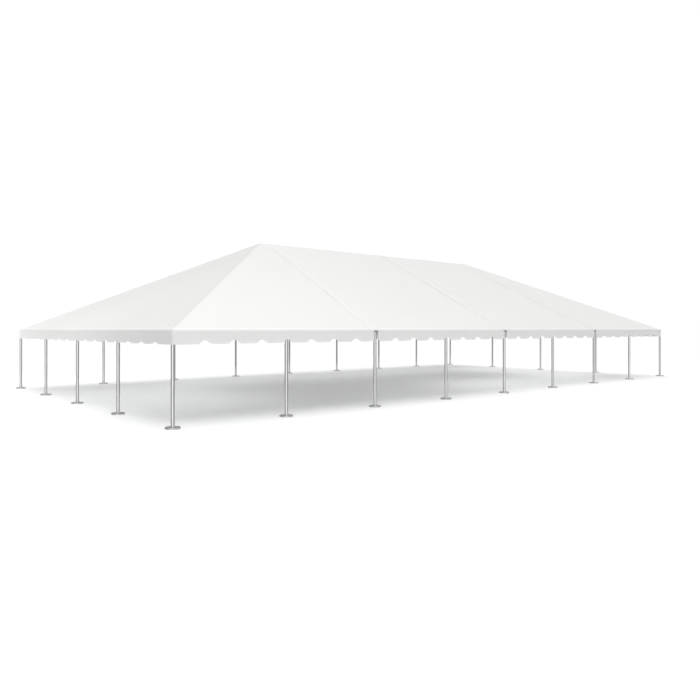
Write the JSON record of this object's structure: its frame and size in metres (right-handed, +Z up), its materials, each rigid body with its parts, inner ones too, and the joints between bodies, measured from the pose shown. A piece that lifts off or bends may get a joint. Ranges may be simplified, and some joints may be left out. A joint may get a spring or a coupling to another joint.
{
  "type": "frame marquee tent",
  "caption": "Large rectangular frame tent: a white hipped canopy with a scalloped valance on a tubular frame whose legs stand on round base plates.",
  "frame": {"origin": "middle of the footprint, on the ground under the base plates", "axes": "+X along the length, +Y across towards the back, +Z up"},
  "size_m": [24.724, 12.532, 5.21],
  "materials": {
    "canopy_vinyl": "white coated vinyl with a faint weave and a low sheen",
    "aluminium_tube": "mill finish tube and cast fittings, satin",
    "leg_tube": "polished leg and base plate"
  },
  "bodies": {
    "root": {"back_eave_rail": "aluminium_tube", "back_jack_rafter_left": "aluminium_tube", "back_jack_rafter_right": "aluminium_tube", "back_left_hip": "aluminium_tube", "back_leg_1": "leg_tube", "back_leg_2": "leg_tube", "back_leg_3": "leg_tube", "back_leg_4": "leg_tube", "back_leg_5": "leg_tube", "back_leg_6": "leg_tube", "back_leg_7": "leg_tube", "back_leg_8": "leg_tube", "back_leg_9": "leg_tube", "back_rafter_1": "aluminium_tube", "back_rafter_2": "aluminium_tube", "back_rafter_3": "aluminium_tube", "back_rafter_4": "aluminium_tube", "back_rafter_5": "aluminium_tube", "back_right_hip": "aluminium_tube", "front_eave_rail": "aluminium_tube", "front_jack_rafter_left": "aluminium_tube", "front_jack_rafter_right": "aluminium_tube", "front_left_hip": "aluminium_tube", "front_leg_1": "leg_tube", "front_leg_2": "leg_tube", "front_leg_3": "leg_tube", "front_leg_4": "leg_tube", "front_leg_5": "leg_tube", "front_leg_6": "leg_tube", "front_leg_7": "leg_tube", "front_leg_8": "leg_tube", "front_leg_9": "leg_tube", "front_rafter_1": "aluminium_tube", "front_rafter_2": "aluminium_tube", "front_rafter_3": "aluminium_tube", "front_rafter_4": "aluminium_tube", "front_rafter_5": "aluminium_tube", "front_right_hip": "aluminium_tube", "left_eave_rail": "aluminium_tube", "left_end_canopy": "canopy_vinyl", "left_end_rafter": "aluminium_tube", "left_jack_rafter_back": "aluminium_tube", "left_jack_rafter_front": "aluminium_tube", "left_leg_1": "leg_tube", "left_leg_2": "leg_tube", "left_leg_3": "leg_tube", "left_middle_canopy": "canopy_vinyl", "ridge_beam": "aluminium_tube", "right_eave_rail": "aluminium_tube", "right_end_canopy": "canopy_vinyl", "right_end_rafter": "aluminium_tube", "right_jack_rafter_back": "aluminium_tube", "right_jack_rafter_front": "aluminium_tube", "right_leg_1": "leg_tube", "right_leg_2": "leg_tube", "right_leg_3": "leg_tube", "right_middle_canopy": "canopy_vinyl"}
  },
  "joints": []
}
